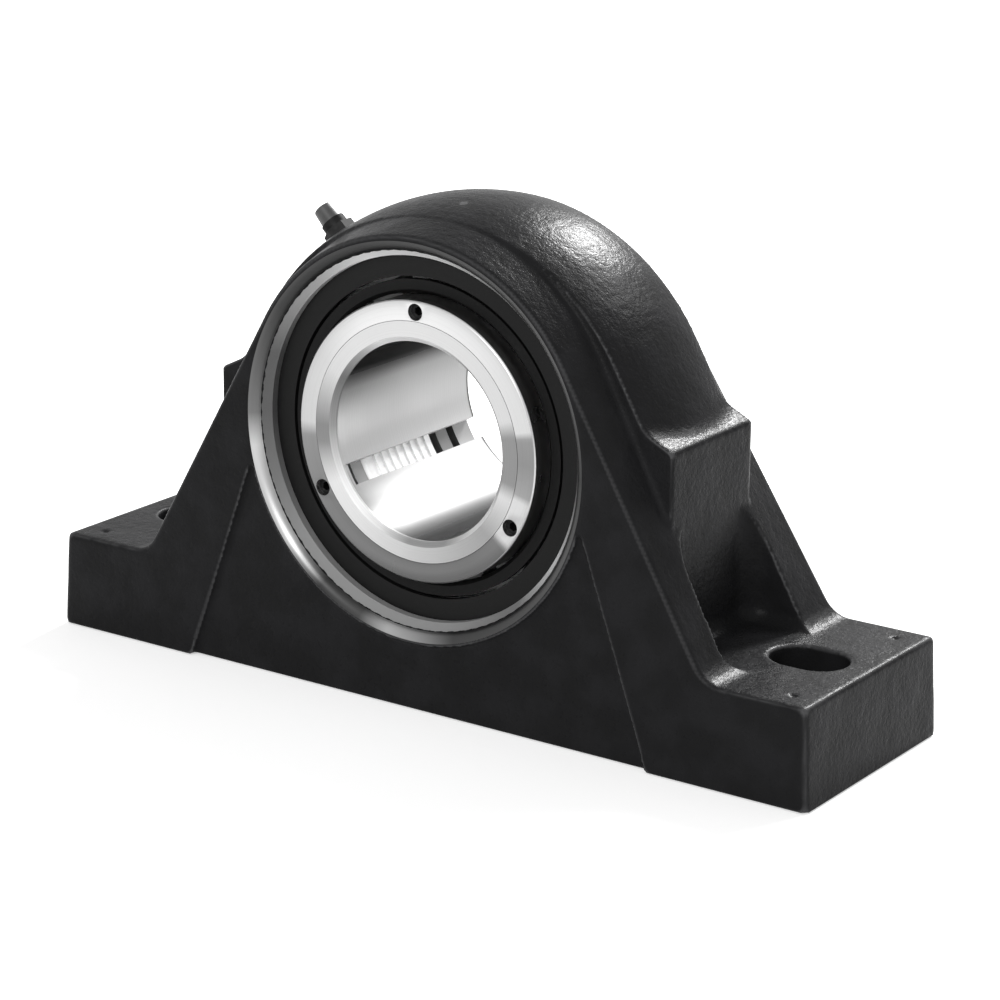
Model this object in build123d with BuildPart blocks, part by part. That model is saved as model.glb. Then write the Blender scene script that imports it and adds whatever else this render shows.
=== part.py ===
from build123d import *
import os
from math import acos, atan2, cos, degrees, hypot, pi, radians, sin, sqrt, tan

os.makedirs("parts", exist_ok=True)

# Pillow block roller bearing unit, millimetres. The shaft runs along Y at the centre height,
# the clamping collar faces -Y, the foot runs along X and stands on Z = 0.

# Housing foot
base_length = 272
base_width = 77
foot_height = 30
foot_end_draft = 1.6
foot_side_draft = 0.6
foot_corner_radius = 1.5
foot_edge_radius = 1.2
slot_end_distance = 22
slot_length = 24
slot_width = 18
dimple_end_distance = 10.5
dimple_side_distance = 9
dimple_diameter = 3

# Housing frames, one on each side of the dome
centre_height = 82
frame_toe_distance = 34.5
frame_toe_radius = 10
frame_step = 0.7
dome_front = 24
dome_rear = 20
front_arch_wall = 6.6
rear_arch_wall = 7.6
front_arch_draft = 3.3
rear_arch_draft = 6
frame_edge_radius = 1.2
panel_depth = 1.8
panel_foot_half_width = 84
panel_top_half_width = 59.5
panel_top_drop = 16

# Housing dome and the shoulders that close the bolt pockets
dome_wall = 19.8
dome_drop = 6.5
dome_crown = 3.2
shoulder_overhang = 6.4
shoulder_lift = 8
shoulder_slope = 26
shoulder_blend_radius = 9
shoulder_edge_radius = 1.2
pocket_corner_radius = 8
pocket_floor_radius = 5
pocket_overrun = 0.1

# Bearing
bearing_diameter = 110
bearing_width = 28
shaft_diameter = 60
outer_ring_wall = 5.3
inner_ring_wall = 2.5
contact_lean = 10.1
roller_length = 10
roller_gap = 3.4
running_clearance = 0.12
pocket_clearance = 0.25
oil_groove_width = 5
oil_groove_depth = 1
oil_hole_diameter = 3
oil_hole_count = 3
ring_chamfer = 1
profile_relief = 0.3
inner_ring_front = 19.2
inner_ring_rear = 14.5
lip_height = 2
cage_sheet = 1.5
cage_overhang = 1.65
cage_rim_gap = 0.6
guide_ring_depth = 4.2

# Clamping sleeve, collar and the rings between them
sleeve_half_length = 35
sleeve_wall = 3.9
serration_depth = 0.9
serration_count = 8
slit_width = 6.8
slit_angle = 210
flange_thickness = 3
flange_height = 2.3
fit_gap = 0.1
collar_height = 8.5
collar_width = 9.5
collar_chamfer = 0.5
sleeve_front_chamfer = 1.5
sleeve_rear_chamfer = 1
ring_bore_chamfer = 1.1
grub_screw_count = 3
grub_screw_diameter = 5
grub_screw_wall = 0.8
grub_screw_sink = 1.8
grub_socket_width = 2.5
grub_socket_depth = 2.2
thrust_ring_height = 6.6
stop_ring_thickness = 5.5
stop_ring_offset = 3.5
stop_ring_height = 3.3
land_ring_width = 8
land_ring_height = 3.7

# Seals and retaining ring
tilt_gap = 0.95
seal_sink = 8
seal_sheet = 1.8
seal_rim = 1.5
lip_width = 4.15
lip_thickness = 2.2
lip_recess = 0.2
rear_seal_width = 4.35
shoulder_clearance = 3
snap_ring_thickness = 2.4
snap_groove_depth = 2.5
snap_ring_depth = 5
snap_ring_opening = 26
snap_lug_radius = 2.2
snap_lug_hole_radius = 1
snap_lug_rise = 0.5

# Front rim of the bore
bevel_height = 2.1
lip_depth = 2.7
bevel_width = 2.8
rim_flat = 0.5
rear_chamfer = 2

# Grease nipple
nipple_angle = 136.5
nipple_offset = -1.5
nipple_seat_sink = 1.6
nipple_spot_radius = 7.5
nipple_thread_diameter = 6
nipple_thread_length = 8
nipple_hex_width = 9
nipple_hex_height = 5.4
nipple_collar_diameter = 7.8
nipple_collar_height = 2.6
nipple_neck_diameter = 3.6
nipple_neck_height = 1.2
nipple_head_diameter = 4.6
nipple_head_height = 3.5
nipple_head_chamfer = 0.8
nipple_passage_diameter = 1.4
cap_wall = 0.6
cap_flare = 0.5
grease_hole_diameter = 3

bolt_spacing = base_length - 2 * slot_end_distance
frame_reach = base_length / 2 - frame_toe_distance
frame_face = base_width / 2 - frame_step
bevel_outer_face = frame_face - lip_depth
bevel_inner_face = bevel_outer_face - bevel_width
seal_face = frame_face - seal_sink
bearing_radius = bearing_diameter / 2
bearing_half = bearing_width / 2
bore_radius = shaft_diameter / 2
sleeve_radius = bore_radius + sleeve_wall
ring_bore = sleeve_radius + fit_gap
flange_radius = sleeve_radius + flange_height
collar_radius = sleeve_radius + collar_height
grub_circle_radius = collar_radius - grub_screw_wall - grub_screw_diameter / 2
collar_back = sleeve_half_length - collar_width
land_radius = sleeve_radius + land_ring_height
front_opening = collar_radius + lip_width + 2 * tilt_gap
rear_opening = land_radius + lip_width + 2 * tilt_gap
rear_bore_radius = rear_opening + rear_seal_width
front_arch_radius = bearing_radius + front_arch_wall
rear_arch_radius = rear_bore_radius + rear_arch_wall
front_rim_radius = front_arch_radius - rim_flat
rear_rim_radius = rear_arch_radius - rim_flat
bevel_radius = bearing_radius + bevel_height
dome_radius = bearing_radius + dome_wall
shoulder_reach = dome_radius + shoulder_overhang
shoulder_height = centre_height + shoulder_lift
# The dome's centre lies below the shaft, so its surface is nearer to the shaft at the nipple.
drop_across = dome_drop * cos(radians(nipple_angle))
drop_along = dome_drop * sin(radians(nipple_angle))
nipple_seat_radius = sqrt(dome_radius ** 2 - drop_across ** 2) - drop_along - nipple_seat_sink

# The rollers fill the space between the two rings' walls. They stand on a cone, and their middles
# lie on a sphere round the bearing's centre.
contact_angle = radians(contact_lean)
outer_race_radius = bearing_radius - outer_ring_wall
inner_race_distance = (ring_bore + inner_ring_wall) / cos(contact_angle)
roller_radius = (outer_race_radius - inner_race_distance) / 2 - running_clearance
roller_sphere = (outer_race_radius + inner_race_distance) / 2
roller_pitch_radius = roller_sphere * cos(contact_angle)
row_offset = roller_sphere * sin(contact_angle)
roller_count = int(2 * pi * roller_pitch_radius / (2 * roller_radius + roller_gap))
roller_profile_radius = outer_race_radius - profile_relief
half_length = roller_length / 2
race_half_length = half_length + pocket_clearance

shaft_axis = Axis((0, 0, centre_height), (0, 1, 0))
# Local x runs along the shaft towards the rear, local y is the distance from the shaft axis.
section = Plane(origin=(0, 0, centre_height), x_dir=(0, 1, 0), z_dir=(1, 0, 0))
# Looking at the unit from the collar side: local x is X, local y is Z, the normal points to -Y.
front_view = Plane(origin=(0, 0, centre_height), x_dir=(1, 0, 0), z_dir=(0, -1, 0))


def write(piece, name):
    """Label a finished piece and write its file."""
    piece.part.label = name
    export_step(piece.part, f"parts/{name}.step")


def turned(*profile):
    """A ring turned about the shaft axis from (along, radius) corners."""
    with BuildPart() as ring:
        with BuildSketch(section):
            with BuildLine():
                Polyline(*profile, close=True)
            make_face()
        revolve(axis=shaft_axis)
    return ring


def radial_plane(angle, along=0):
    """A plane on the shaft axis whose normal points outwards at an angle in the front view."""
    outwards = (cos(radians(angle)), 0, sin(radians(angle)))
    return Plane(origin=(0, along, centre_height), x_dir=(0, 1, 0), z_dir=outwards)


def flank_lean(arch_radius):
    """How far a flank leans from upright on its way from the arch down to the frame's toe, in radians."""
    drop = centre_height - foot_height
    return acos(arch_radius / hypot(frame_reach, drop)) - atan2(drop, frame_reach)


def frame_outline(plane, arch_radius):
    """An A-frame: an arch round the bore, straight flanks tangent to it and rounded toes on the foot."""
    lean = flank_lean(arch_radius)
    across, along = Vector(cos(lean), sin(lean)), Vector(sin(lean), -cos(lean))
    centre = Vector(0, centre_height)
    toe = Vector(frame_reach, foot_height)
    toe_run = frame_toe_radius * cos(lean) / (1 + sin(lean))
    shoulder_point = centre + across * arch_radius
    toe_start = toe - along * toe_run
    toe_end = toe + Vector(toe_run, 0)
    with BuildSketch(plane) as outline:
        with BuildLine():
            RadiusArc(centre + Vector(0, arch_radius), shoulder_point, arch_radius)
            Line(shoulder_point, toe_start)
            TangentArc(toe_start, toe_end, tangent=along)
            Polyline(toe_end, (toe_end.X, foot_height / 2), (0, foot_height / 2))
            mirror(about=Plane.YZ)
        make_face()
    return outline


# Foot: a drafted plate with a rounded plan and softened top edges.
with BuildPart() as foot:
    with BuildSketch():
        RectangleRounded(base_length, base_width, foot_corner_radius)
    with BuildSketch(Plane.XY.offset(foot_height)):
        top_length = base_length - 2 * foot_end_draft
        top_width = base_width - 2 * foot_side_draft
        RectangleRounded(top_length, top_width, foot_corner_radius)
    loft()
    fillet(foot.faces().sort_by(Axis.Z)[-1].edges(), foot_edge_radius)

# Frames: the front one carries the wide bore, the rear one the narrow bore.
front_outer = frame_outline(Plane.XZ.offset(frame_face), front_arch_radius)
front_inner = frame_outline(Plane.XZ.offset(dome_front), front_arch_radius + front_arch_draft)
rear_inner = frame_outline(Plane.XZ.offset(-dome_rear), rear_arch_radius + rear_arch_draft)
rear_outer = frame_outline(Plane.XZ.offset(-frame_face), rear_arch_radius)

with BuildPart() as front_frame:
    loft([front_inner.sketch, front_outer.sketch], ruled=True)
    face_edges = front_frame.faces().sort_by(Axis.Y)[0].edges()
    fillet(face_edges.filter_by(lambda edge: edge.center().Z > foot_height), frame_edge_radius)

with BuildPart() as rear_frame:
    loft([rear_inner.sketch, rear_outer.sketch], ruled=True)
    face_edges = rear_frame.faces().sort_by(Axis.Y)[-1].edges()
    fillet(face_edges.filter_by(lambda edge: edge.center().Z > foot_height), frame_edge_radius)

# Dome: a crowned barrel over the bearing that runs straight down both flanks to the shoulders.
dome_height = centre_height - dome_drop
dome_middle = (dome_rear - dome_front) / 2
dome_lean = flank_lean(front_arch_radius)
dome_axis = Axis((0, 0, dome_height), (0, 1, 0))
shoulder_rise = shoulder_reach * tan(radians(shoulder_slope))


def crown_section(plane):
    """The dome's cross-section, with the crown at the top."""
    left = (-dome_front, dome_radius - dome_crown)
    right = (dome_rear, dome_radius - dome_crown)
    with BuildSketch(plane) as crown:
        with BuildLine():
            ThreePointArc(left, (dome_middle, dome_radius), right)
            Polyline(right, (dome_rear, 0), (-dome_front, 0), left)
        make_face()
    return crown


barrel = crown_section(Plane(origin=(0, 0, dome_height), x_dir=(0, 1, 0), z_dir=(1, 0, 0)))
flank = crown_section(Plane(origin=(0, 0, dome_height), x_dir=(0, 1, 0),
                            z_dir=(sin(dome_lean), 0, -cos(dome_lean))))

with BuildPart() as dome:
    revolve(barrel.sketch, axis=dome_axis)
    extrude(flank.sketch, amount=dome_radius)
    split(bisect_by=Plane.YZ.offset(shoulder_reach), keep=Keep.BOTTOM)
    split(bisect_by=Plane.XY, keep=Keep.TOP)
    with BuildSketch(Plane.XZ.offset(dome_front)):
        with BuildLine():
            Polyline((0, foot_height / 2), (shoulder_reach, foot_height / 2),
                     (shoulder_reach, shoulder_height), (0, shoulder_height + shoulder_rise), close=True)
        make_face()
    extrude(amount=-dome_front - dome_rear)
    split(bisect_by=Plane.YZ, keep=Keep.TOP)
    crossing = dome.edges().filter_by(GeomType.ELLIPSE)
    crossing = crossing.filter_by_position(Axis.X, shoulder_reach - shoulder_blend_radius, shoulder_reach)
    fillet(crossing.filter_by_position(Axis.Y, -dome_front / 2, dome_rear / 2), shoulder_blend_radius)
    corner = dome.edges().filter_by(Axis.Y).filter_by_position(Axis.X, shoulder_reach, shoulder_reach)
    fillet(corner.sort_by(Axis.Z)[-1], shoulder_edge_radius)
    mirror(about=Plane.YZ)

# Bolt pocket between the frames: rounded in plan and along its floor. It runs a little past both
# ends of the middle block, which is cut before the frames are joined to it.
with BuildPart() as pocket:
    with BuildSketch(Plane.XY.offset(foot_height)):
        with Locations((shoulder_reach, dome_middle)):
            Rectangle(bolt_spacing / 2 + slot_length - shoulder_reach,
                      dome_front + dome_rear + 2 * pocket_overrun, align=(Align.MIN, Align.CENTER))
    extrude(amount=centre_height)
    wall_corners = pocket.edges().filter_by(Axis.Z).group_by(Axis.X)[0]
    fillet(wall_corners, pocket_corner_radius)
    fillet(pocket.faces().sort_by(Axis.Z)[0].edges(), pocket_floor_radius)
    mirror(about=Plane.YZ)

# Middle: the block between the frames with the dome on it, less the bolt pockets.
with BuildPart() as middle:
    loft([front_inner.sketch, rear_inner.sketch], ruled=True)
    add(dome.part)
    add(pocket.part, mode=Mode.SUBTRACT)

# Sunk panels below the bore, one on each face, bounded by sloping lines that end on the rim.
# They are cut from their floor outwards and past the foot's underside.
with BuildPart() as panels:
    for side, rim_radius in ((-1, front_rim_radius), (1, rear_rim_radius)):
        with BuildSketch(Plane.XZ.offset(side * (panel_depth - frame_face))):
            with BuildLine():
                Polyline((-panel_foot_half_width, -panel_depth), (panel_foot_half_width, -panel_depth),
                         (panel_top_half_width, centre_height - panel_top_drop),
                         (-panel_top_half_width, centre_height - panel_top_drop), close=True)
            make_face()
            with Locations((0, centre_height)):
                Circle(rim_radius, mode=Mode.SUBTRACT)
        extrude(amount=-side * base_width)

# Bores: a wide front bore with a glossy rounded lip and a bright bevel, a snap ring groove,
# the bearing seat with its shoulder, and the narrow rear bore.
groove_end = bearing_half + snap_ring_thickness + fit_gap
with BuildPart() as bores:
    with BuildSketch(section):
        with BuildLine():
            Polyline((-base_width, 0), (-base_width, front_rim_radius), (-frame_face, front_rim_radius))
            TangentArc((-frame_face, front_rim_radius), (-bevel_outer_face, bevel_radius), tangent=(0, -1))
            Polyline((-bevel_outer_face, bevel_radius), (-bevel_inner_face, bearing_radius),
                     (-groove_end, bearing_radius), (-groove_end, bearing_radius + snap_groove_depth),
                     (-bearing_half, bearing_radius + snap_groove_depth), (-bearing_half, bearing_radius),
                     (bearing_half, bearing_radius), (bearing_half, rear_bore_radius),
                     (frame_face - rear_chamfer, rear_bore_radius),
                     (frame_face, rear_bore_radius + rear_chamfer),
                     (base_width, rear_bore_radius + rear_chamfer), (base_width, 0), (-base_width, 0))
        make_face()
    revolve(axis=shaft_axis)

# Housing: one casting, machined in the bores, on the nipple seat and under the foot.
with BuildPart() as housing:
    add([foot.part, middle.part, front_frame.part, rear_frame.part])
    add([panels.part, bores.part], mode=Mode.SUBTRACT)
    with BuildSketch():
        with GridLocations(bolt_spacing, 0, 2, 1):
            SlotOverall(slot_length, slot_width)
    extrude(amount=foot_height, mode=Mode.SUBTRACT)
    with Locations(Plane.XY.offset(foot_height)):
        with GridLocations(base_length - 2 * dimple_end_distance, base_width - 2 * dimple_side_distance, 2, 2):
            Cone(0, dimple_diameter / 2, dimple_diameter / 2,
                 align=(Align.CENTER, Align.CENTER, Align.MAX), mode=Mode.SUBTRACT)
    nipple_plane = radial_plane(nipple_angle, nipple_offset)
    with BuildSketch(nipple_plane.offset(nipple_seat_radius)):
        Circle(nipple_spot_radius)
    extrude(amount=nipple_spot_radius, mode=Mode.SUBTRACT)
    with BuildSketch(nipple_plane.offset(nipple_seat_radius)):
        Circle(nipple_thread_diameter / 2)
    extrude(amount=-nipple_thread_length, mode=Mode.SUBTRACT)
    with BuildSketch(nipple_plane.offset(nipple_seat_radius)):
        Circle(grease_hole_diameter / 2)
    extrude(amount=-(nipple_seat_radius - bearing_radius + oil_groove_depth), mode=Mode.SUBTRACT)
write(housing, "housing")

# Grease nipple: a hexagon with a threaded shank, a round collar, a neck and a head, drilled through.
hex_top = nipple_seat_radius + nipple_hex_height
nipple_collar_top = hex_top + nipple_collar_height
neck_top = nipple_collar_top + nipple_neck_height
head_top = neck_top + nipple_head_height
with BuildPart() as grease_nipple:
    with BuildSketch(nipple_plane.offset(nipple_seat_radius - nipple_thread_length)):
        Circle(nipple_thread_diameter / 2)
    extrude(amount=nipple_thread_length)
    with BuildSketch(nipple_plane.offset(nipple_seat_radius)):
        RegularPolygon(nipple_hex_width / 2, 6, major_radius=False)
    extrude(amount=nipple_hex_height)
    with BuildSketch(nipple_plane.offset(hex_top)):
        Circle(nipple_collar_diameter / 2)
    extrude(amount=nipple_collar_height)
    with BuildSketch(nipple_plane.offset(nipple_collar_top)):
        Circle(nipple_neck_diameter / 2)
    extrude(amount=nipple_neck_height)
    with BuildSketch(nipple_plane.offset(neck_top)):
        Circle(nipple_head_diameter / 2)
    extrude(amount=nipple_head_height)
    nipple_axis = Axis(nipple_plane.origin, nipple_plane.z_dir)
    chamfer(grease_nipple.edges().sort_by(nipple_axis)[-1], nipple_head_chamfer)
    with BuildSketch(nipple_plane):
        Circle(nipple_passage_diameter / 2)
    extrude(amount=head_top, mode=Mode.SUBTRACT)
write(grease_nipple, "grease_nipple")

# Nipple cap: a soft tapered cup that stands on the nipple's collar and covers the head.
cap_bore = nipple_head_diameter / 2 + fit_gap
with BuildPart() as nipple_cap:
    with BuildSketch(nipple_plane.offset(nipple_collar_top)):
        Circle(cap_bore + cap_wall + cap_flare)
    with BuildSketch(nipple_plane.offset(head_top + fit_gap + cap_wall)):
        Circle(cap_bore + cap_wall)
    loft()
    fillet(nipple_cap.edges().sort_by(nipple_axis)[-1], cap_wall)
    with BuildSketch(nipple_plane.offset(nipple_collar_top)):
        Circle(cap_bore)
    extrude(amount=head_top - nipple_collar_top + fit_gap, mode=Mode.SUBTRACT)
write(nipple_cap, "nipple_cap")

# Outer ring: a spherical race on which the rollers can swivel, with an oil groove and three holes.
race_edge = sqrt(outer_race_radius ** 2 - bearing_half ** 2)
with BuildPart() as outer_ring:
    with BuildSketch(section):
        with BuildLine():
            ThreePointArc((-bearing_half, race_edge), (0, outer_race_radius), (bearing_half, race_edge))
            Polyline((bearing_half, race_edge), (bearing_half, bearing_radius - ring_chamfer),
                     (bearing_half - ring_chamfer, bearing_radius),
                     (oil_groove_width / 2, bearing_radius),
                     (oil_groove_width / 2, bearing_radius - oil_groove_depth),
                     (-oil_groove_width / 2, bearing_radius - oil_groove_depth),
                     (-oil_groove_width / 2, bearing_radius),
                     (ring_chamfer - bearing_half, bearing_radius),
                     (-bearing_half, bearing_radius - ring_chamfer), (-bearing_half, race_edge))
        make_face()
    revolve(axis=shaft_axis)
    for hole in range(oil_hole_count):
        with BuildSketch(radial_plane(nipple_angle + hole * 360 / oil_hole_count)):
            Circle(oil_hole_diameter / 2)
        extrude(amount=bearing_diameter, mode=Mode.SUBTRACT)
write(outer_ring, "outer_ring")


def at_row(along, away, side=1):
    """A section point, along the roller's axis and away from the bearing's centre; side -1 is the front."""
    across = away * sin(contact_angle) + along * cos(contact_angle)
    return side * across, away * cos(contact_angle) - along * sin(contact_angle)


def profile_drop(half_length):
    """How far the crowned roller profile falls from its middle to a point along it."""
    return roller_profile_radius - sqrt(roller_profile_radius ** 2 - half_length ** 2)


def serrations(grow):
    """Corners of the saw-tooth fit between sleeve and inner ring, rising towards the rear."""
    pitch = 2 * inner_ring_rear / serration_count
    corners = []
    for tooth in range(serration_count):
        start = tooth * pitch - inner_ring_rear
        corners.append((start, sleeve_radius - serration_depth + grow))
        corners.append((start + pitch, sleeve_radius + grow))
    return corners


# Inner ring: two races, a lip outside each and the saw-tooth bore.
race_end = inner_race_distance + profile_drop(race_half_length)
lip_radius = at_row(race_half_length, race_end + lip_height)[1]
with BuildPart() as inner_ring:
    with BuildSketch(section):
        with BuildLine():
            for side in (-1, 1):
                ThreePointArc(at_row(-race_half_length, race_end, side),
                              at_row(0, inner_race_distance, side),
                              at_row(race_half_length, race_end, side))
            Line(at_row(-race_half_length, race_end, -1), at_row(-race_half_length, race_end))
            Polyline(at_row(race_half_length, race_end),
                     at_row(race_half_length, race_end + lip_height),
                     (inner_ring_rear, lip_radius), *reversed(serrations(fit_gap)),
                     (-inner_ring_rear, ring_bore), (ring_bore_chamfer - inner_ring_front, ring_bore),
                     (-inner_ring_front, ring_bore + ring_bore_chamfer), (-inner_ring_front, lip_radius),
                     at_row(race_half_length, race_end + lip_height, -1),
                     at_row(race_half_length, race_end, -1))
        make_face()
    revolve(axis=shaft_axis)
write(inner_ring, "inner_ring")

# Rollers and cages: two staggered rows of barrel rollers, each in a window cage of bent sheet.
end_radius = roller_radius - profile_drop(half_length)
with BuildPart() as roller:
    with BuildSketch(Plane.XZ):
        with BuildLine():
            ThreePointArc((end_radius, -half_length), (roller_radius, 0), (end_radius, half_length))
            Polyline((end_radius, half_length), (0, half_length),
                     (0, -half_length), (end_radius, -half_length))
        make_face()
    revolve(axis=Axis.Z)

cage_reach = race_half_length + cage_overhang
cage_top = roller_sphere + cage_sheet / 2
cage_bottom = roller_sphere - cage_sheet / 2
cage_rim_bottom = race_end + lip_height + cage_rim_gap
for name, side, stagger in (("front", -1, 0), ("rear", 1, 180 / roller_count)):
    seat = Location((0, 0, -side * row_offset), (0, side * degrees(contact_angle), 0))
    with BuildPart(front_view) as rollers:
        with PolarLocations(roller_pitch_radius, roller_count, start_angle=stagger):
            with Locations(seat):
                add(roller.part)
    write(rollers, f"{name}_rollers")

    with BuildPart(front_view) as cage:
        with BuildSketch(section):
            with BuildLine():
                Polyline(at_row(-cage_reach, cage_bottom, side), at_row(-cage_reach, cage_top, side),
                         at_row(cage_reach, cage_top, side), at_row(cage_reach, cage_rim_bottom, side),
                         at_row(cage_reach - cage_sheet, cage_rim_bottom, side),
                         at_row(cage_reach - cage_sheet, cage_bottom, side), close=True)
            make_face()
        revolve(axis=shaft_axis)
        with PolarLocations(roller_pitch_radius, roller_count, start_angle=stagger):
            with Locations(seat):
                Cylinder(roller_radius + pocket_clearance, 2 * race_half_length, mode=Mode.SUBTRACT)
    write(cage, f"{name}_cage")


def roller_end(radius):
    """Half the space between the two rows' end faces at a distance from the shaft axis."""
    away = (radius - half_length * sin(contact_angle)) / cos(contact_angle)
    return away * sin(contact_angle) - half_length * cos(contact_angle)


# Guide ring: a floating wedge between the rows that runs on the inner ring's middle land.
guide_bottom = at_row(-race_half_length, race_end)[1] + running_clearance
guide_top = guide_bottom + guide_ring_depth
guide_foot = roller_end(guide_bottom) - pocket_clearance
guide_head = roller_end(guide_top) - pocket_clearance
guide_ring = turned((-guide_foot, guide_bottom), (-guide_head, guide_top),
                    (guide_head, guide_top), (guide_foot, guide_bottom))
write(guide_ring, "guide_ring")

# Clamping sleeve: slit from its rear end up to the front flange, which the collar pulls on.
front_end = -sleeve_half_length
flange_back = front_end + flange_thickness
with BuildPart() as clamping_sleeve:
    with BuildSketch(section):
        with BuildLine():
            Polyline((front_end + sleeve_front_chamfer, bore_radius),
                     (front_end, bore_radius + sleeve_front_chamfer), (front_end, flange_radius),
                     (flange_back, flange_radius), (flange_back, sleeve_radius),
                     (-inner_ring_rear, sleeve_radius), *serrations(0),
                     (sleeve_half_length, sleeve_radius),
                     (sleeve_half_length, bore_radius + sleeve_rear_chamfer),
                     (sleeve_half_length - sleeve_rear_chamfer, bore_radius), close=True)
        make_face()
    revolve(axis=shaft_axis)
    with BuildSketch(radial_plane(slit_angle, flange_back)):
        Rectangle(2 * sleeve_half_length, slit_width, align=(Align.MIN, Align.CENTER))
    extrude(amount=flange_radius, mode=Mode.SUBTRACT)
write(clamping_sleeve, "clamping_sleeve")

# Mounting collar: pushes the sleeve's flange forwards when its screws are tightened.
recess_radius = flange_radius + fit_gap
with BuildPart() as mounting_collar:
    with BuildSketch(section):
        with BuildLine():
            Polyline((front_end, recess_radius), (front_end, collar_radius - collar_chamfer),
                     (front_end + collar_chamfer, collar_radius), (-collar_back, collar_radius),
                     (-collar_back, ring_bore + ring_bore_chamfer),
                     (-collar_back - ring_bore_chamfer, ring_bore),
                     (flange_back, ring_bore), (flange_back, recess_radius), close=True)
        make_face()
    revolve(axis=shaft_axis)
    with BuildSketch(front_view.offset(collar_back)):
        with PolarLocations(grub_circle_radius, grub_screw_count, start_angle=90):
            Circle(grub_screw_diameter / 2)
    extrude(amount=collar_width, mode=Mode.SUBTRACT)
write(mounting_collar, "mounting_collar")

# Grub screws: socket set screws in the collar that bear on the thrust ring.
grub_length = collar_width - grub_screw_sink
with BuildPart() as grub_screws:
    with BuildSketch(front_view.offset(collar_back)):
        with PolarLocations(grub_circle_radius, grub_screw_count, start_angle=90):
            Circle(grub_screw_diameter / 2)
    extrude(amount=grub_length)
    with BuildSketch(front_view.offset(collar_back + grub_length)):
        with PolarLocations(grub_circle_radius, grub_screw_count, start_angle=90):
            RegularPolygon(grub_socket_width / 2, 6, major_radius=False)
    extrude(amount=-grub_socket_depth, mode=Mode.SUBTRACT)
write(grub_screws, "grub_screws")

# Rings on the sleeve: the thrust ring in front, the stop ring and the seal's land ring behind.
thrust_ring = turned((-collar_back, ring_bore), (-collar_back, sleeve_radius + thrust_ring_height),
                     (-inner_ring_front, sleeve_radius + thrust_ring_height),
                     (-inner_ring_front, ring_bore + ring_bore_chamfer),
                     (-inner_ring_front - ring_bore_chamfer, ring_bore))
write(thrust_ring, "thrust_ring")
stop_front = inner_ring_rear + stop_ring_offset
stop_back = stop_front + stop_ring_thickness
stop_ring = turned((stop_front, ring_bore), (stop_front, sleeve_radius + stop_ring_height),
                   (stop_back, sleeve_radius + stop_ring_height), (stop_back, ring_bore))
write(stop_ring, "stop_ring")
land_front = sleeve_half_length - land_ring_width
land_ring = turned((land_front, ring_bore), (land_front, land_radius),
                   (sleeve_half_length - collar_chamfer, land_radius),
                   (sleeve_half_length, land_radius - collar_chamfer), (sleeve_half_length, ring_bore))
write(land_ring, "land_ring")

# Snap ring: an internal ring with two pierced lugs that holds the outer ring on its shoulder.
snap_outer = bearing_radius + snap_groove_depth - fit_gap
snap_inner = snap_outer - snap_ring_depth
lug_circle = snap_inner - snap_lug_rise
lug_x = snap_ring_opening / 2 + snap_lug_radius
lug_y = -sqrt(lug_circle ** 2 - lug_x ** 2)
with BuildPart() as snap_ring:
    with BuildSketch(front_view.offset(bearing_half)):
        Circle(snap_outer)
        Circle(snap_inner, mode=Mode.SUBTRACT)
        with Locations((0, -snap_outer)):
            Rectangle(snap_ring_opening, snap_outer, align=(Align.CENTER, Align.MIN), mode=Mode.SUBTRACT)
        with Locations((-lug_x, lug_y), (lug_x, lug_y)):
            Circle(snap_lug_radius)
        with Locations((-lug_x, lug_y), (lug_x, lug_y)):
            Circle(snap_lug_hole_radius, mode=Mode.SUBTRACT)
    extrude(amount=snap_ring_thickness)
write(snap_ring, "snap_ring")


def seal_carrier(side, seat_radius, opening_radius, inner_end):
    """A rubber-coated sheet cup pressed into the housing, open round the seal's lip."""
    edge = seal_face - seal_sheet
    return turned((side * seal_face, opening_radius), (side * seal_face, seat_radius),
                  (side * inner_end, seat_radius), (side * inner_end, seat_radius - seal_rim),
                  (side * edge, seat_radius - seal_rim), (side * edge, opening_radius))


def seal_lip(side, land):
    """A rubber ring round the running surface, free of the carrier so that it can tilt with the shaft."""
    outer_face = seal_face - lip_recess
    inner_face = outer_face - lip_thickness
    lip_bore = land + tilt_gap
    nose = lip_thickness / 2
    return turned((side * outer_face, lip_bore + nose), (side * outer_face, lip_bore + lip_width),
                  (side * inner_face, lip_bore + lip_width), (side * inner_face, lip_bore),
                  (side * (outer_face - nose), lip_bore))


write(seal_carrier(-1, bearing_radius, front_opening, groove_end), "front_seal")
write(seal_carrier(1, rear_bore_radius, rear_opening, bearing_half + shoulder_clearance), "rear_seal")
write(seal_lip(-1, collar_radius), "front_seal_lip")
write(seal_lip(1, land_radius), "rear_seal_lip")
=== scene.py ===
from math import cos, pi, radians, sin

import bpy
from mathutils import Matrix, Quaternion, Vector


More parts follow.
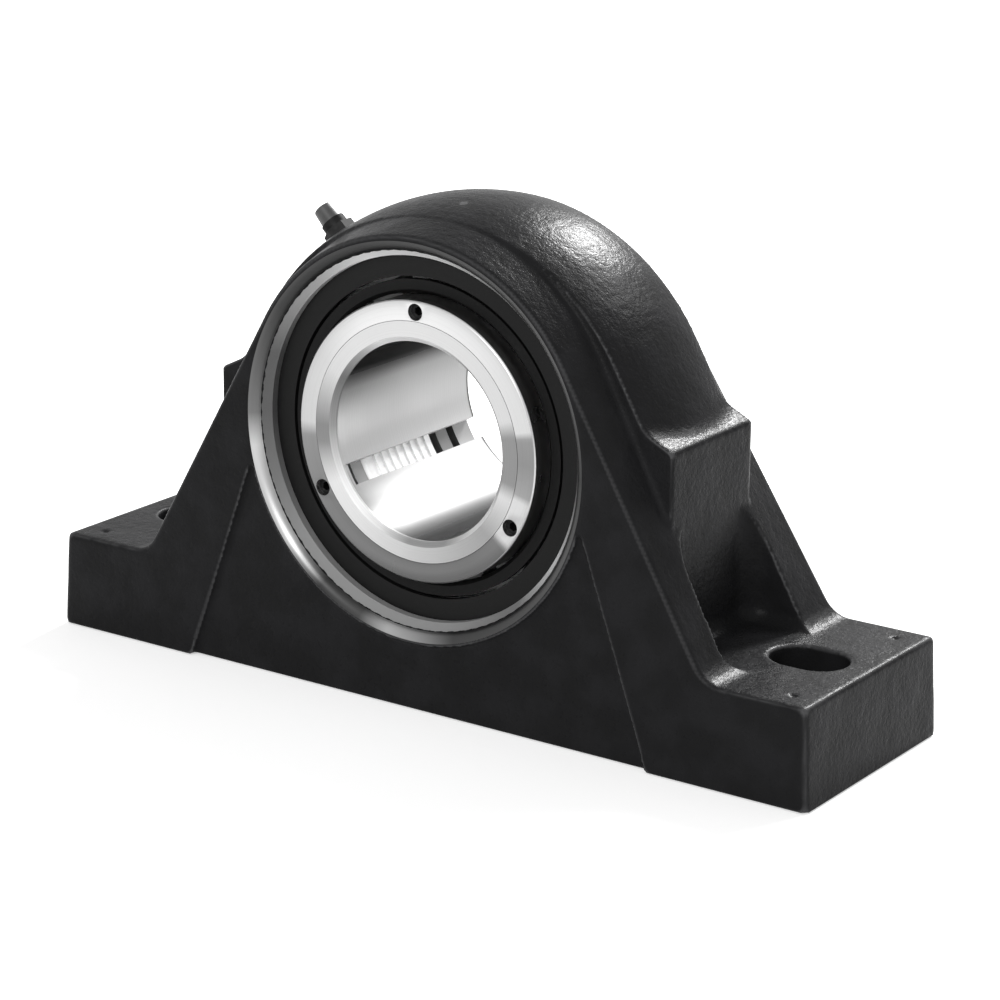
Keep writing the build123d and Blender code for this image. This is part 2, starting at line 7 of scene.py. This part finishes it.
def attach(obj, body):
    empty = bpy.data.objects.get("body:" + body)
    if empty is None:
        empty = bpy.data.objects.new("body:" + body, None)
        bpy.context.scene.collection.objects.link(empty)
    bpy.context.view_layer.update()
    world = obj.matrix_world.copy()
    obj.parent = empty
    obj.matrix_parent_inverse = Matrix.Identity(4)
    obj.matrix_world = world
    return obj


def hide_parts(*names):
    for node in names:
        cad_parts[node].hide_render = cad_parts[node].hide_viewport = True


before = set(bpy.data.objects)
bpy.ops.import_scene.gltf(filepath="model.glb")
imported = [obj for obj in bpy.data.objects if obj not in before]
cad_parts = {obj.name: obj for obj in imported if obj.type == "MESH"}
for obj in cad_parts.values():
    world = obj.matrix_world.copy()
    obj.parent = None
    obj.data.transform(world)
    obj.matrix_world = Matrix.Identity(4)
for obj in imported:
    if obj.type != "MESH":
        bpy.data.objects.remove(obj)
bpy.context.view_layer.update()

# Camera: a long lens, a little above the foot and to the right of the shaft, that looks down the
# bore from the collar's side. Its roll is the small tilt of the photograph.
camera_place = Vector((0.5396, -0.7726, 0.3452))
camera_target = Vector((0.00621, 0, 0.0572))
camera_roll = radians(0.6)
camera_lens = 117.64
film_width = 36

camera = bpy.data.objects.new("camera", bpy.data.cameras.new("camera"))
bpy.context.scene.collection.objects.link(camera)
camera.data.lens = camera_lens
camera.data.sensor_width = film_width
camera.data.clip_start = 0.05
camera.data.clip_end = 20
camera.location = camera_place
camera.rotation_mode = "QUATERNION"
look = (camera_target - camera_place).to_track_quat("-Z", "Y")
camera.rotation_quaternion = look @ Quaternion((0, 0, 1), camera_roll)
bpy.context.scene.camera = camera
bpy.context.scene.view_settings.view_transform = "Standard"

# Studio: a white floor and sky that the camera and the reflections see brighter than they light the
# part, a small lamp behind and above that draws the highlight on the dome, and softer lamps beside
# it and in front.
floor_size = 8
floor_drop = 0.0005
floor_tone = 0.8
floor_glow = 0.5
sky_light = 0.4
lamp_target = Vector((0, 0, 0.08))


class Wire:
    """A socket of a node tree, for use in sums and products."""

    def __init__(self, wiring, socket):
        self.wiring = wiring
        self.socket = socket

    def then(self, operation, *others):
        """One maths node, by the name of its operation, that starts from this socket."""
        return self.wiring.node("ShaderNodeMath", {"operation": operation}, [self, *others])

    def __add__(self, other):
        return self.then("ADD", other)

    def __sub__(self, other):
        return self.then("SUBTRACT", other)

    def __rsub__(self, other):
        return self.wiring.node("ShaderNodeMath", {"operation": "SUBTRACT"}, [other, self])

    def __mul__(self, other):
        return self.then("MULTIPLY", other)

    def __truediv__(self, other):
        return self.then("DIVIDE", other)

    __radd__ = __add__
    __rmul__ = __mul__


class Wiring:
    """A node tree under construction."""

    def __init__(self, tree):
        self.tree = tree

    def node(self, kind, settings, inputs, output=0):
        """Adds any node: its settings by name, and its sockets by order or by name."""
        node = self.tree.nodes.new(kind)
        for name, value in settings.items():
            setattr(node, name, value)
        pairs = inputs.items() if isinstance(inputs, dict) else enumerate(inputs)
        for key, value in pairs:
            if isinstance(value, Wire):
                self.tree.links.new(value.socket, node.inputs[key])
            else:
                node.inputs[key].default_value = value
        return Wire(self, node.outputs[output])


class Paint(Wiring):
    """A finish round one Principled shader, laid out on the piece's own coordinates."""

    def __init__(self, name):
        self.material = bpy.data.materials.new(name)
        self.material.use_nodes = True
        super().__init__(self.material.node_tree)
        self.shader = self.tree.nodes["Principled BSDF"]
        self.place = self.node("ShaderNodeTexCoord", {}, [], "Object")

    def noise(self, scale, detail=2, roughness=0.5, at=None):
        """A cloudy pattern; the scale is in waves to the metre."""
        sockets = {"Vector": at or self.place, "Scale": scale, "Detail": detail, "Roughness": roughness}
        return self.node("ShaderNodeTexNoise", {}, sockets)

    def feed(self, **sockets):
        """Fills the shader's sockets: a wire is linked and a value is set."""
        for name, value in sockets.items():
            socket = self.shader.inputs[name.replace("_", " ")]
            if isinstance(value, Wire):
                self.tree.links.new(value.socket, socket)
            else:
                socket.default_value = (*value, 1) if isinstance(value, tuple) else value


def grey(value):
    """A number as a neutral colour."""
    return value.wiring.node("ShaderNodeCombineColor", {}, [value, value, value])


def seen_rays(wiring):
    """1 for what the camera sees, straight or in a reflection or through glass, and 0 for light."""
    rays = wiring.node("ShaderNodeLightPath", {}, []).socket.node.outputs
    names = ("Is Camera Ray", "Is Glossy Ray", "Is Transmission Ray")
    camera_ray, glossy_ray, through_ray = [Wire(wiring, rays[name]) for name in names]
    return (camera_ray + glossy_ray + through_ray).then("MINIMUM", 1.0)


def lamp(name, azimuth, elevation, distance, size, power):
    """A square soft lamp that points at the bearing from an azimuth and elevation in degrees."""
    turn, rise = radians(azimuth), radians(elevation)
    direction = Vector((sin(turn) * cos(rise), -cos(turn) * cos(rise), sin(rise)))
    light = bpy.data.objects.new(name, bpy.data.lights.new(name, "AREA"))
    light.data.size = size
    light.data.energy = power
    light.location = lamp_target + direction * distance
    light.rotation_mode = "QUATERNION"
    light.rotation_quaternion = (-direction).to_track_quat("-Z", "Y")
    bpy.context.scene.collection.objects.link(light)


bpy.ops.object.select_all(action="DESELECT")
bpy.ops.mesh.primitive_plane_add(size=floor_size, location=(0, 0, -floor_drop))
floor = bpy.context.active_object
floor.name = "floor"

floor_paint = Paint("floor_paint")
floor_mottle = floor_paint.noise(3) * 0.02
floor_paint.feed(Base_Color=grey(floor_mottle + floor_tone), Roughness=0.9,
                 Emission_Color=grey(seen_rays(floor_paint)), Emission_Strength=floor_glow)
floor.data.materials.append(floor_paint.material)

world = bpy.data.worlds.new("studio")
bpy.context.scene.world = world
world.use_nodes = True
sky = world.node_tree.nodes["Background"]
sky.inputs["Color"].default_value = (1.0, 1.0, 1.0, 1)
sky_strength = sky_light + seen_rays(Wiring(world.node_tree)) * (1.0 - sky_light)
world.node_tree.links.new(sky_strength.socket, sky.inputs["Strength"])

lamp("back_lamp", azimuth=187, elevation=35, distance=1.4, size=0.22, power=27)
lamp("top_lamp", azimuth=160, elevation=40, distance=1.5, size=0.4, power=8)
lamp("front_lamp", azimuth=14, elevation=30, distance=1.6, size=0.7, power=12)

# Housing: one iron casting with the pebbled skin of its sand mould under black paint, painted lighter at its
# sharpest edges as a painted highlight along them and as rubbed paint. It is re-skinned from its solid, so
# that every cast edge and corner is soft.
merge_gap = 0.000001
skin_step = 0.0008
skin_smoothing = 0.4
skin_keep = 0.42


def only(piece):
    """Selects one object alone and makes it active."""
    bpy.ops.object.select_all(action="DESELECT")
    piece.select_set(True)
    bpy.context.view_layer.objects.active = piece


def copy_of(node, name):
    """A merged copy of a CAD node's mesh as a new object, with normals of its own faces."""
    piece = bpy.data.objects.new(name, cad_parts[node].data.copy())
    bpy.context.scene.collection.objects.link(piece)
    piece.data.materials.clear()
    only(piece)
    bpy.ops.mesh.customdata_custom_splitnormals_clear()
    bpy.ops.object.mode_set(mode="EDIT")
    bpy.ops.mesh.select_all(action="SELECT")
    bpy.ops.mesh.remove_doubles(threshold=merge_gap)
    bpy.ops.mesh.dissolve_degenerate(threshold=merge_gap)
    bpy.ops.mesh.normals_make_consistent(inside=False)
    bpy.ops.object.mode_set(mode="OBJECT")
    return piece


def modify(piece, kind, **settings):
    """Adds a modifier, sets it and applies it."""
    only(piece)
    modifier = piece.modifiers.new(kind.lower(), kind)
    for name, value in settings.items():
        setattr(modifier, name, value)
    bpy.ops.object.modifier_apply(modifier=modifier.name)


def as_colour(value):
    """A number as a grey and a triple as a colour; a wire stays as it is."""
    if isinstance(value, Wire):
        return value
    return (*value, 1) if isinstance(value, tuple) else (value, value, value, 1)


def between(value, low, high):
    """0 at low, 1 at high and a smooth step between; it falls where high is the smaller one."""
    steps = [value, low, high, 0.0, 1.0]
    return value.wiring.node("ShaderNodeMapRange", {"interpolation_type": "SMOOTHSTEP"}, steps)


def mix(factor, first, second):
    """The first colour where the factor is 0 and the second where it is 1."""
    sockets = {0: factor, 6: as_colour(first), 7: as_colour(second)}
    return factor.wiring.node("ShaderNodeMix", {"data_type": "RGBA"}, sockets, 2)


def bump(height, distance, strength):
    """Relief from a pattern, of a depth in metres."""
    sockets = {"Height": height, "Distance": distance, "Strength": strength}
    return height.wiring.node("ShaderNodeBump", {}, sockets)


def finish(piece, paint, body):
    """Paints a piece and puts it on its body."""
    piece.data.materials.append(paint.material)
    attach(piece, body)


casting = copy_of("housing", "casting")
modify(casting, "REMESH", mode="VOXEL", voxel_size=skin_step, adaptivity=0.0, use_smooth_shade=True)
modify(casting, "SMOOTH", factor=skin_smoothing, iterations=2)
modify(casting, "DECIMATE", decimate_type="COLLAPSE", ratio=skin_keep)
only(casting)
bpy.ops.object.shade_smooth()

cast_paint = Paint("black_casting")
grit = cast_paint.noise(1500, 2, 0.6)
pebble = cast_paint.noise(620, 3, 0.6)
swell = cast_paint.noise(90)
black = mix(between(swell, 0.35, 0.7), (0.012, 0.012, 0.0125), (0.016, 0.016, 0.017))
# Lighter grey on the sharpest edges: a painted highlight along them, and rubbed paint.
sharpness = cast_paint.node("ShaderNodeNewGeometry", {}, [], "Pointiness")
edge_highlight_and_rubbing = between(sharpness, 0.515, 0.555)
cast_paint.feed(Base_Color=mix(edge_highlight_and_rubbing, black, (0.075, 0.075, 0.077)), Specular_IOR_Level=0.04,
                Roughness=between(pebble, 0.25, 0.75) * 0.1 + 0.26,
                Normal=bump(0.2 * grit + 0.7 * pebble + 1.4 * swell, 0.0004, 0.7))
finish(casting, cast_paint, "housing")
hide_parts("housing")

# Front rim: the mouth of the bearing bore. The casting's rounded lip is worn and glossy, and inside it the
# boring tool leaves a bevel and a turned wall. It is one ring, flush in the casting. The bright and dark
# bands round the lip and the bevel are painted reflections, set by the angle round the shaft.
shaft_height = 0.082
rim_steps = 256
rim_proud = 0.00004
rim_depth = 0.0012
rim_crease = radians(25)
lip_arc_centre = (-0.033487, 0.0611)
lip_arc_radius = 0.004313
lip_first_turn, lip_last_turn, lip_turns = 14, 68, 9
bevel_back = (-0.0323, 0.055)
wall_back = (-0.0299, 0.055)
bevel_outside = 0.0571
bevel_blend = 0.0002


def turned_ring(name, corners, steps):
    """A closed ring about the shaft axis: a circle extruded and scaled from corner to corner."""
    bpy.ops.object.select_all(action="DESELECT")
    along, radius = corners[0]
    bpy.ops.mesh.primitive_circle_add(vertices=steps, radius=radius, location=(0, along, shaft_height),
                                      rotation=(pi / 2, 0, 0))
    piece = bpy.context.active_object
    piece.name = name
    bpy.ops.object.transform_apply(location=True, rotation=True, scale=True)
    bpy.ops.object.mode_set(mode="EDIT")
    bpy.ops.mesh.select_all(action="SELECT")
    for next_along, next_radius in corners[1:] + corners[:1]:
        bpy.ops.mesh.extrude_edges_move(TRANSFORM_OT_translate={"value": (0, next_along - along, 0)})
        grow = next_radius / radius
        bpy.ops.transform.resize(value=(grow, 1, grow), center_override=(0, 0, shaft_height))
        along, radius = next_along, next_radius
    bpy.ops.mesh.select_all(action="SELECT")
    bpy.ops.mesh.remove_doubles(threshold=merge_gap)
    bpy.ops.mesh.normals_make_consistent(inside=False)
    bpy.ops.object.mode_set(mode="OBJECT")
    bpy.ops.object.shade_smooth_by_angle(angle=rim_crease)
    return piece


def lip_point(turn, proud):
    """A point of the lip's arc as (Y, radius), proud of it by a little."""
    reach = lip_arc_radius + proud
    return (lip_arc_centre[0] - reach * cos(radians(turn)), lip_arc_centre[1] - reach * sin(radians(turn)))


class TurnedPaint(Paint):
    """A finish laid out round the shaft, with the fine grooves that a turning tool leaves."""

    def __init__(self, name, fineness=2400.0):
        super().__init__(name)
        places = self.node("ShaderNodeSeparateXYZ", {}, [self.place]).socket.node.outputs
        across, self.along, height = [Wire(self, socket) for socket in places]
        rise = height - shaft_height
        self.radius = (across * across + rise * rise).then("SQRT")
        self.angle = rise.then("ARCTAN2", across) * (180 / pi)
        grooves = self.node("ShaderNodeCombineXYZ", {}, [self.radius * fineness, self.along * fineness, 0.0])
        self.lines = self.noise(1.0, 2, 0.6, at=grooves)


def by_angle(angle, *stops):
    """A painted tone that follows the angle from +X in degrees, from (angle, tone) stops: it paints reflected
    bands of light and dark round the shaft.
    """
    tone = angle.wiring.node("ShaderNodeValToRGB", {}, {"Fac": (angle + 180.0) / 360.0})
    ramp = tone.socket.node.color_ramp
    for index, (at, shade) in enumerate(stops):
        position = (at + 180) / 360
        stop = ramp.elements[index] if index < 2 else ramp.elements.new(position)
        stop.position = position
        stop.color = as_colour(shade)
    return tone


turn_step = (lip_last_turn - lip_first_turn) / (lip_turns - 1)
rim_corners = [lip_point(lip_first_turn + turn_step * step, rim_proud) for step in range(lip_turns)]
rim_corners += [(along, radius - rim_proud) for along, radius in (bevel_back, wall_back)]
rim_corners += [(along, radius + rim_depth) for along, radius in (wall_back, bevel_back)]
rim_corners += [lip_point(turn, -rim_depth) for turn in (lip_last_turn, lip_first_turn)]
front_rim = turned_ring("front_rim", rim_corners, rim_steps)

rim_paint = TurnedPaint("rim_finish", 1800.0)
# Bands of light and dark by angle round the lip and the bevel: painted reflections and a painted highlight.
lip_painted_reflection = by_angle(rim_paint.angle, (-180, 0.14), (-170, 0.45), (-160, 0.4), (-140, 0.36), (-134, 0.2),
                    (-124, 0.04), (-108, 0.06), (-98, 0.35), (-88, 0.25), (-75, 0.06), (-25, 0.08),
                    (0, 0.04), (35, 0.08), (110, 0.05), (145, 0.06), (180, 0.14))
bevel_painted_reflection = by_angle(rim_paint.angle, (-180, 0.1), (-140, 0.28), (-80, 0.32), (-50, 0.22), (-30, 0.8),
                      (-12, 0.35), (0, 0.07), (40, 0.1), (60, 0.25), (80, 0.85), (110, 0.95), (130, 0.5),
                      (160, 0.12), (180, 0.1))
on_bevel = between(rim_paint.radius, bevel_outside, bevel_outside - bevel_blend)
rim_paint.feed(Base_Color=mix(on_bevel, lip_painted_reflection, bevel_painted_reflection), Metallic=1.0 - on_bevel * 0.9,
               Roughness=rim_paint.lines * 0.1 + 0.32, Normal=bump(rim_paint.lines, 0.00002, 0.4))
finish(front_rim, rim_paint, "housing")

# Grease nipple: a steel hexagon with a collar and a head, screwed into the casting's spot face. Its zinc is
# painted near black and left dull: painted shade and a painted reflection of the black housing round its
# collar and neck, where the zinc itself would be pale.
def dress(paint, slot, *nodes):
    """Gives CAD nodes their finish; the slot is not used."""
    for node in nodes:
        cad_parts[node].data.materials.clear()
        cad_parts[node].data.materials.append(paint.material)


zinc = Paint("zinc_plate")
zinc_cloud = zinc.noise(500, 3)
# Near-black base: painted shade and reflection, not the grey of zinc.
zinc.feed(Base_Color=grey(zinc_cloud * 0.03 + 0.004), Metallic=0.5, Specular_IOR_Level=0.2,
          Specular_Tint=(0.3, 0.3, 0.3), Roughness=zinc_cloud * 0.1 + 0.45,
          Normal=bump(zinc_cloud, 0.00004, 0.4))
dress(zinc, "zinc_plate", "grease_nipple")

# Nipple cap: a moulded cup of dark grey plastic, pressed over the nipple's head to keep dust out.
# Its skin has the fine orange peel of the mould.
cap = Paint("cap_plastic")
cap_cloud = cap.noise(400)
cap.feed(Base_Color=grey(cap_cloud * 0.05 + 0.03), Roughness=cap_cloud * 0.15 + 0.35,
         Normal=bump(cap_cloud, 0.00005, 0.3))
dress(cap, "cap_plastic", "nipple_cap")

# Bearing rings: the outer ring with its ball-shaped race and the inner ring with two races, of
# hardened steel ground bright. The inner ring's saw-tooth bore shows through the sleeve's slit.
steel_grain = 60


def plain_steel(name, tone, spread, roughness, fineness=2400.0):
    """Bare steel with fine lines round the shaft and a slow change of tone."""
    paint = TurnedPaint(name, fineness)
    cloud = paint.noise(steel_grain, 3)
    paint.feed(Base_Color=grey(cloud * spread + tone), Metallic=1.0, Roughness=paint.lines * 0.12 + roughness,
               Normal=bump(paint.lines, 0.00001, 0.3))
    return paint


race_steel = plain_steel("race_steel", tone=0.8, spread=0.15, roughness=0.5)
dress(race_steel, "ground_steel", "inner_ring", "outer_ring")

# Rollers: two staggered rows of barrels in hardened steel, ground and honed smoother than the
# races they run in.
roller_steel = plain_steel("roller_steel", tone=0.35, spread=0.15, roughness=0.3, fineness=900.0)
dress(roller_steel, "ground_steel", "front_rollers", "rear_rollers")

# Cages and guide ring: window cages pressed from sheet steel, one for each row, with a turned ring
# between the rows that keeps them straight.
cage_steel = plain_steel("cage_steel", tone=0.35, spread=0.2, roughness=0.38, fineness=500.0)
dress(cage_steel, "sheet_steel", "front_cage", "rear_cage", "guide_ring")

# Snap ring: spring steel, blued by its hardening, sprung into a groove of the housing to hold the
# outer ring on its shoulder.
snap_ring_steel = plain_steel("snap_ring_steel", tone=0.08, spread=0.1, roughness=0.35, fineness=700.0)
dress(snap_ring_steel, "spring_steel", "snap_ring")

# Thrust, land and stop rings: plain turned steel rings on the sleeve. The first takes the push of
# the grub screws, the second runs in the rear seal, and the third stands behind the inner ring.
ring_steel = plain_steel("ring_steel", tone=0.22, spread=0.15, roughness=0.4)
dress(ring_steel, "turned_steel", "thrust_ring", "land_ring")
stop_ring_steel = plain_steel("stop_ring_steel", tone=0.12, spread=0.15, roughness=0.4)
dress(stop_ring_steel, "turned_steel", "stop_ring")

# Clamping sleeve: turned and bored from bright bar, then slit from the rear up to its flange. Its face,
# chamfer and bore carry painted reflections of the bench in bands by angle: near black at the top of the
# bore, white below the slit. The bore's unseen wall is painted pale to light the seen one, its rear end is
# painted darker as shade, and the slit's sides are painted pale to hide their shade.
mask_blend = 0.0001
crease = radians(30)
mouth_start = -0.0327
chamfer_outside = 0.0314
bore_outside = 0.0301
slit_start = -0.0312
rear_chamfer_start, rear_chamfer_end = 0.0328, 0.0336
sleeve_rear = 0.0348


def over(value, limit):
    """1 above the limit and 0 below it, with a narrow blend."""
    return between(value, limit, limit + mask_blend)


def under(value, limit):
    """1 below the limit and 0 above it, with a narrow blend."""
    return between(value, limit, limit - mask_blend)


def darkened(tone, shade):
    """A tone times a shade."""
    sockets = {0: 1.0, 6: tone, 7: shade}
    return tone.wiring.node("ShaderNodeMix", {"data_type": "RGBA", "blend_type": "MULTIPLY"}, sockets, 2)


def machine(paint, tone, metallic, roughness):
    """Bright machined steel of a tone, whose shade changes a little with the tool's grooves."""
    cloud = paint.noise(steel_grain)
    shade = mix(between(paint.lines, 0.25, 0.75), 0.86, 0.96)
    paint.feed(Base_Color=darkened(tone, shade), Metallic=metallic, Roughness=cloud * 0.1 + roughness,
               Specular_Tint=(0.1, 0.1, 0.1), Specular_IOR_Level=0.1, Normal=bump(paint.lines, 0.00002, 0.4))


sleeve = copy_of("clamping_sleeve", "sleeve")
bpy.ops.object.shade_smooth_by_angle(angle=crease)

sleeve_paint = TurnedPaint("sleeve_steel")
# Bands by angle on the face, the chamfer and the bore: painted reflections. The bore's unseen wall is painted
# pale.
face_painted_reflection = by_angle(sleeve_paint.angle, (-180, 0.21), (-171, 0.22), (-150, 0.63), (-130, 0.61), (-100, 0.53),
                     (-60, 0.38), (-42, 0.32), (-19, 0.6), (-11, 0.25), (12, 0.25), (20, 0.56), (90, 0.61),
                     (130, 0.6), (150, 0.56), (172, 0.3), (180, 0.21))
chamfer_painted_reflection = by_angle(sleeve_paint.angle, (-180, 0.35), (-150, 0.9), (-115, 0.85), (-95, 0.35), (-70, 0.35),
                        (-50, 0.8), (-30, 0.9), (-12, 0.4), (50, 0.4), (80, 0.9), (115, 0.9), (130, 0.45),
                        (150, 0.2), (180, 0.35))
from_left = sleeve_paint.angle.then("WRAP", 360.0, 0.0) - 180.0
bore_painted_reflection = by_angle(from_left, (-180, 0.8), (-84, 0.8), (-70, 0.01), (-36, 0.01), (-20, 0.4), (0, 0.48),
                     (12, 0.55), (22, 0.68), (32, 0.6), (48, 0.38), (70, 0.34), (80, 0.22), (92, 0.1),
                     (112, 0.1), (122, 0.8), (180, 0.8))
# The bore's rear end is painted darker: painted shade.
rear_shade = mix(between(sleeve_paint.along, rear_chamfer_start, rear_chamfer_end), 1.0, 0.2)
in_mouth = under(sleeve_paint.along, mouth_start)
on_face = in_mouth * over(sleeve_paint.radius, chamfer_outside)
in_slit = over(sleeve_paint.radius, bore_outside) * over(sleeve_paint.along, slit_start)
on_rear = over(sleeve_paint.along, sleeve_rear)
in_bore = under(sleeve_paint.radius, bore_outside + mask_blend)
# The slit's sides are painted pale: painted light that hides their shade.
inside_painted_light = mix(in_slit, darkened(bore_painted_reflection, rear_shade), 0.85)
sleeve_tone = mix(on_face, mix(in_mouth, mix(on_rear, inside_painted_light, 0.27), chamfer_painted_reflection), face_painted_reflection)
paleness = (in_bore * 0.35).then("MAXIMUM", in_slit.then("MAXIMUM", in_mouth - on_face) * 0.8)
machine(sleeve_paint, sleeve_tone, 1.0 - paleness, 0.34)
finish(sleeve, sleeve_paint, "shaft_set")
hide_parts("clamping_sleeve")

# Mounting collar: a ring turned from bright bar, faced in a lathe and broken at its edges. Its face is
# painted by angle with bright and grey wedges: a painted reflection of the studio in the sectors that its
# fine circular grooves would catch.
collar_bevel = 0.0001
collar_corner = radians(35)
collar_front = -0.0348

collar = copy_of("mounting_collar", "collar")
modify(collar, "BEVEL", width=collar_bevel, segments=2, limit_method="ANGLE", angle_limit=collar_corner)
bpy.ops.object.shade_smooth_by_angle(angle=crease)

collar_paint = TurnedPaint("collar_steel")
# Wedges by angle on the face: painted reflections.
wedge_painted_reflection = by_angle(collar_paint.angle, (-180, 0.47), (-174, 0.22), (-140, 0.165), (-60, 0.15), (-40, 0.16),
                      (-37, 0.53), (-17, 0.55), (-14, 0.29), (0, 0.22), (11, 0.24), (14, 0.53), (40, 0.56),
                      (90, 0.65), (120, 0.63), (148, 0.5), (180, 0.47))
side_tone = grey(collar_paint.noise(40) * 0.1 + 0.5)
collar_tone = mix(under(collar_paint.along, collar_front), side_tone, wedge_painted_reflection)
machine(collar_paint, collar_tone, 1.0, 0.24)
finish(collar, collar_paint, "shaft_set")
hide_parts("mounting_collar")

# Grub screws: three set screws with hexagon sockets, sunk in the collar's face. They are blackened
# in hot oxide, which leaves them mottled and half dull.
oxide = Paint("black_oxide")
oxide_cloud = oxide.noise(900, 3, 0.6)
oxide.feed(Base_Color=grey(oxide_cloud * 0.01 + 0.004), Metallic=0.6, Specular_IOR_Level=0.3,
           Roughness=between(oxide_cloud, 0.3, 0.7) * 0.15 + 0.4, Normal=bump(oxide_cloud, 0.00005, 0.3))
dress(oxide, "black_oxide", "grub_screws")

# Seals: black rubber moulded over a pressed sheet cup, pushed into each end of the housing, and the soft lip
# inside it that rubs on the shaft's rings. The lip is painted darker: painted shade for its place in shadow
# inside the cup.
lip_start, lip_end = 0.0487, 0.0482

rubber = TurnedPaint("seal_rubber", 900.0)
rubber_grain = rubber.noise(700, 3, 0.6)
# The lip's radius is painted darker: painted shade.
lip_painted_shade = between(rubber.radius, lip_start, lip_end)
rubber.feed(Base_Color=grey((rubber_grain * 0.006 + 0.005) * (1.0 - lip_painted_shade * 0.6)), Specular_IOR_Level=0.12,
            Roughness=between(rubber_grain, 0.3, 0.7) * 0.12 + 0.42,
            Normal=bump(rubber_grain * 0.5 + rubber.lines * 0.5, 0.00006, 0.35))
dress(rubber, "seal_rubber", "front_seal", "rear_seal", "front_seal_lip", "rear_seal_lip")
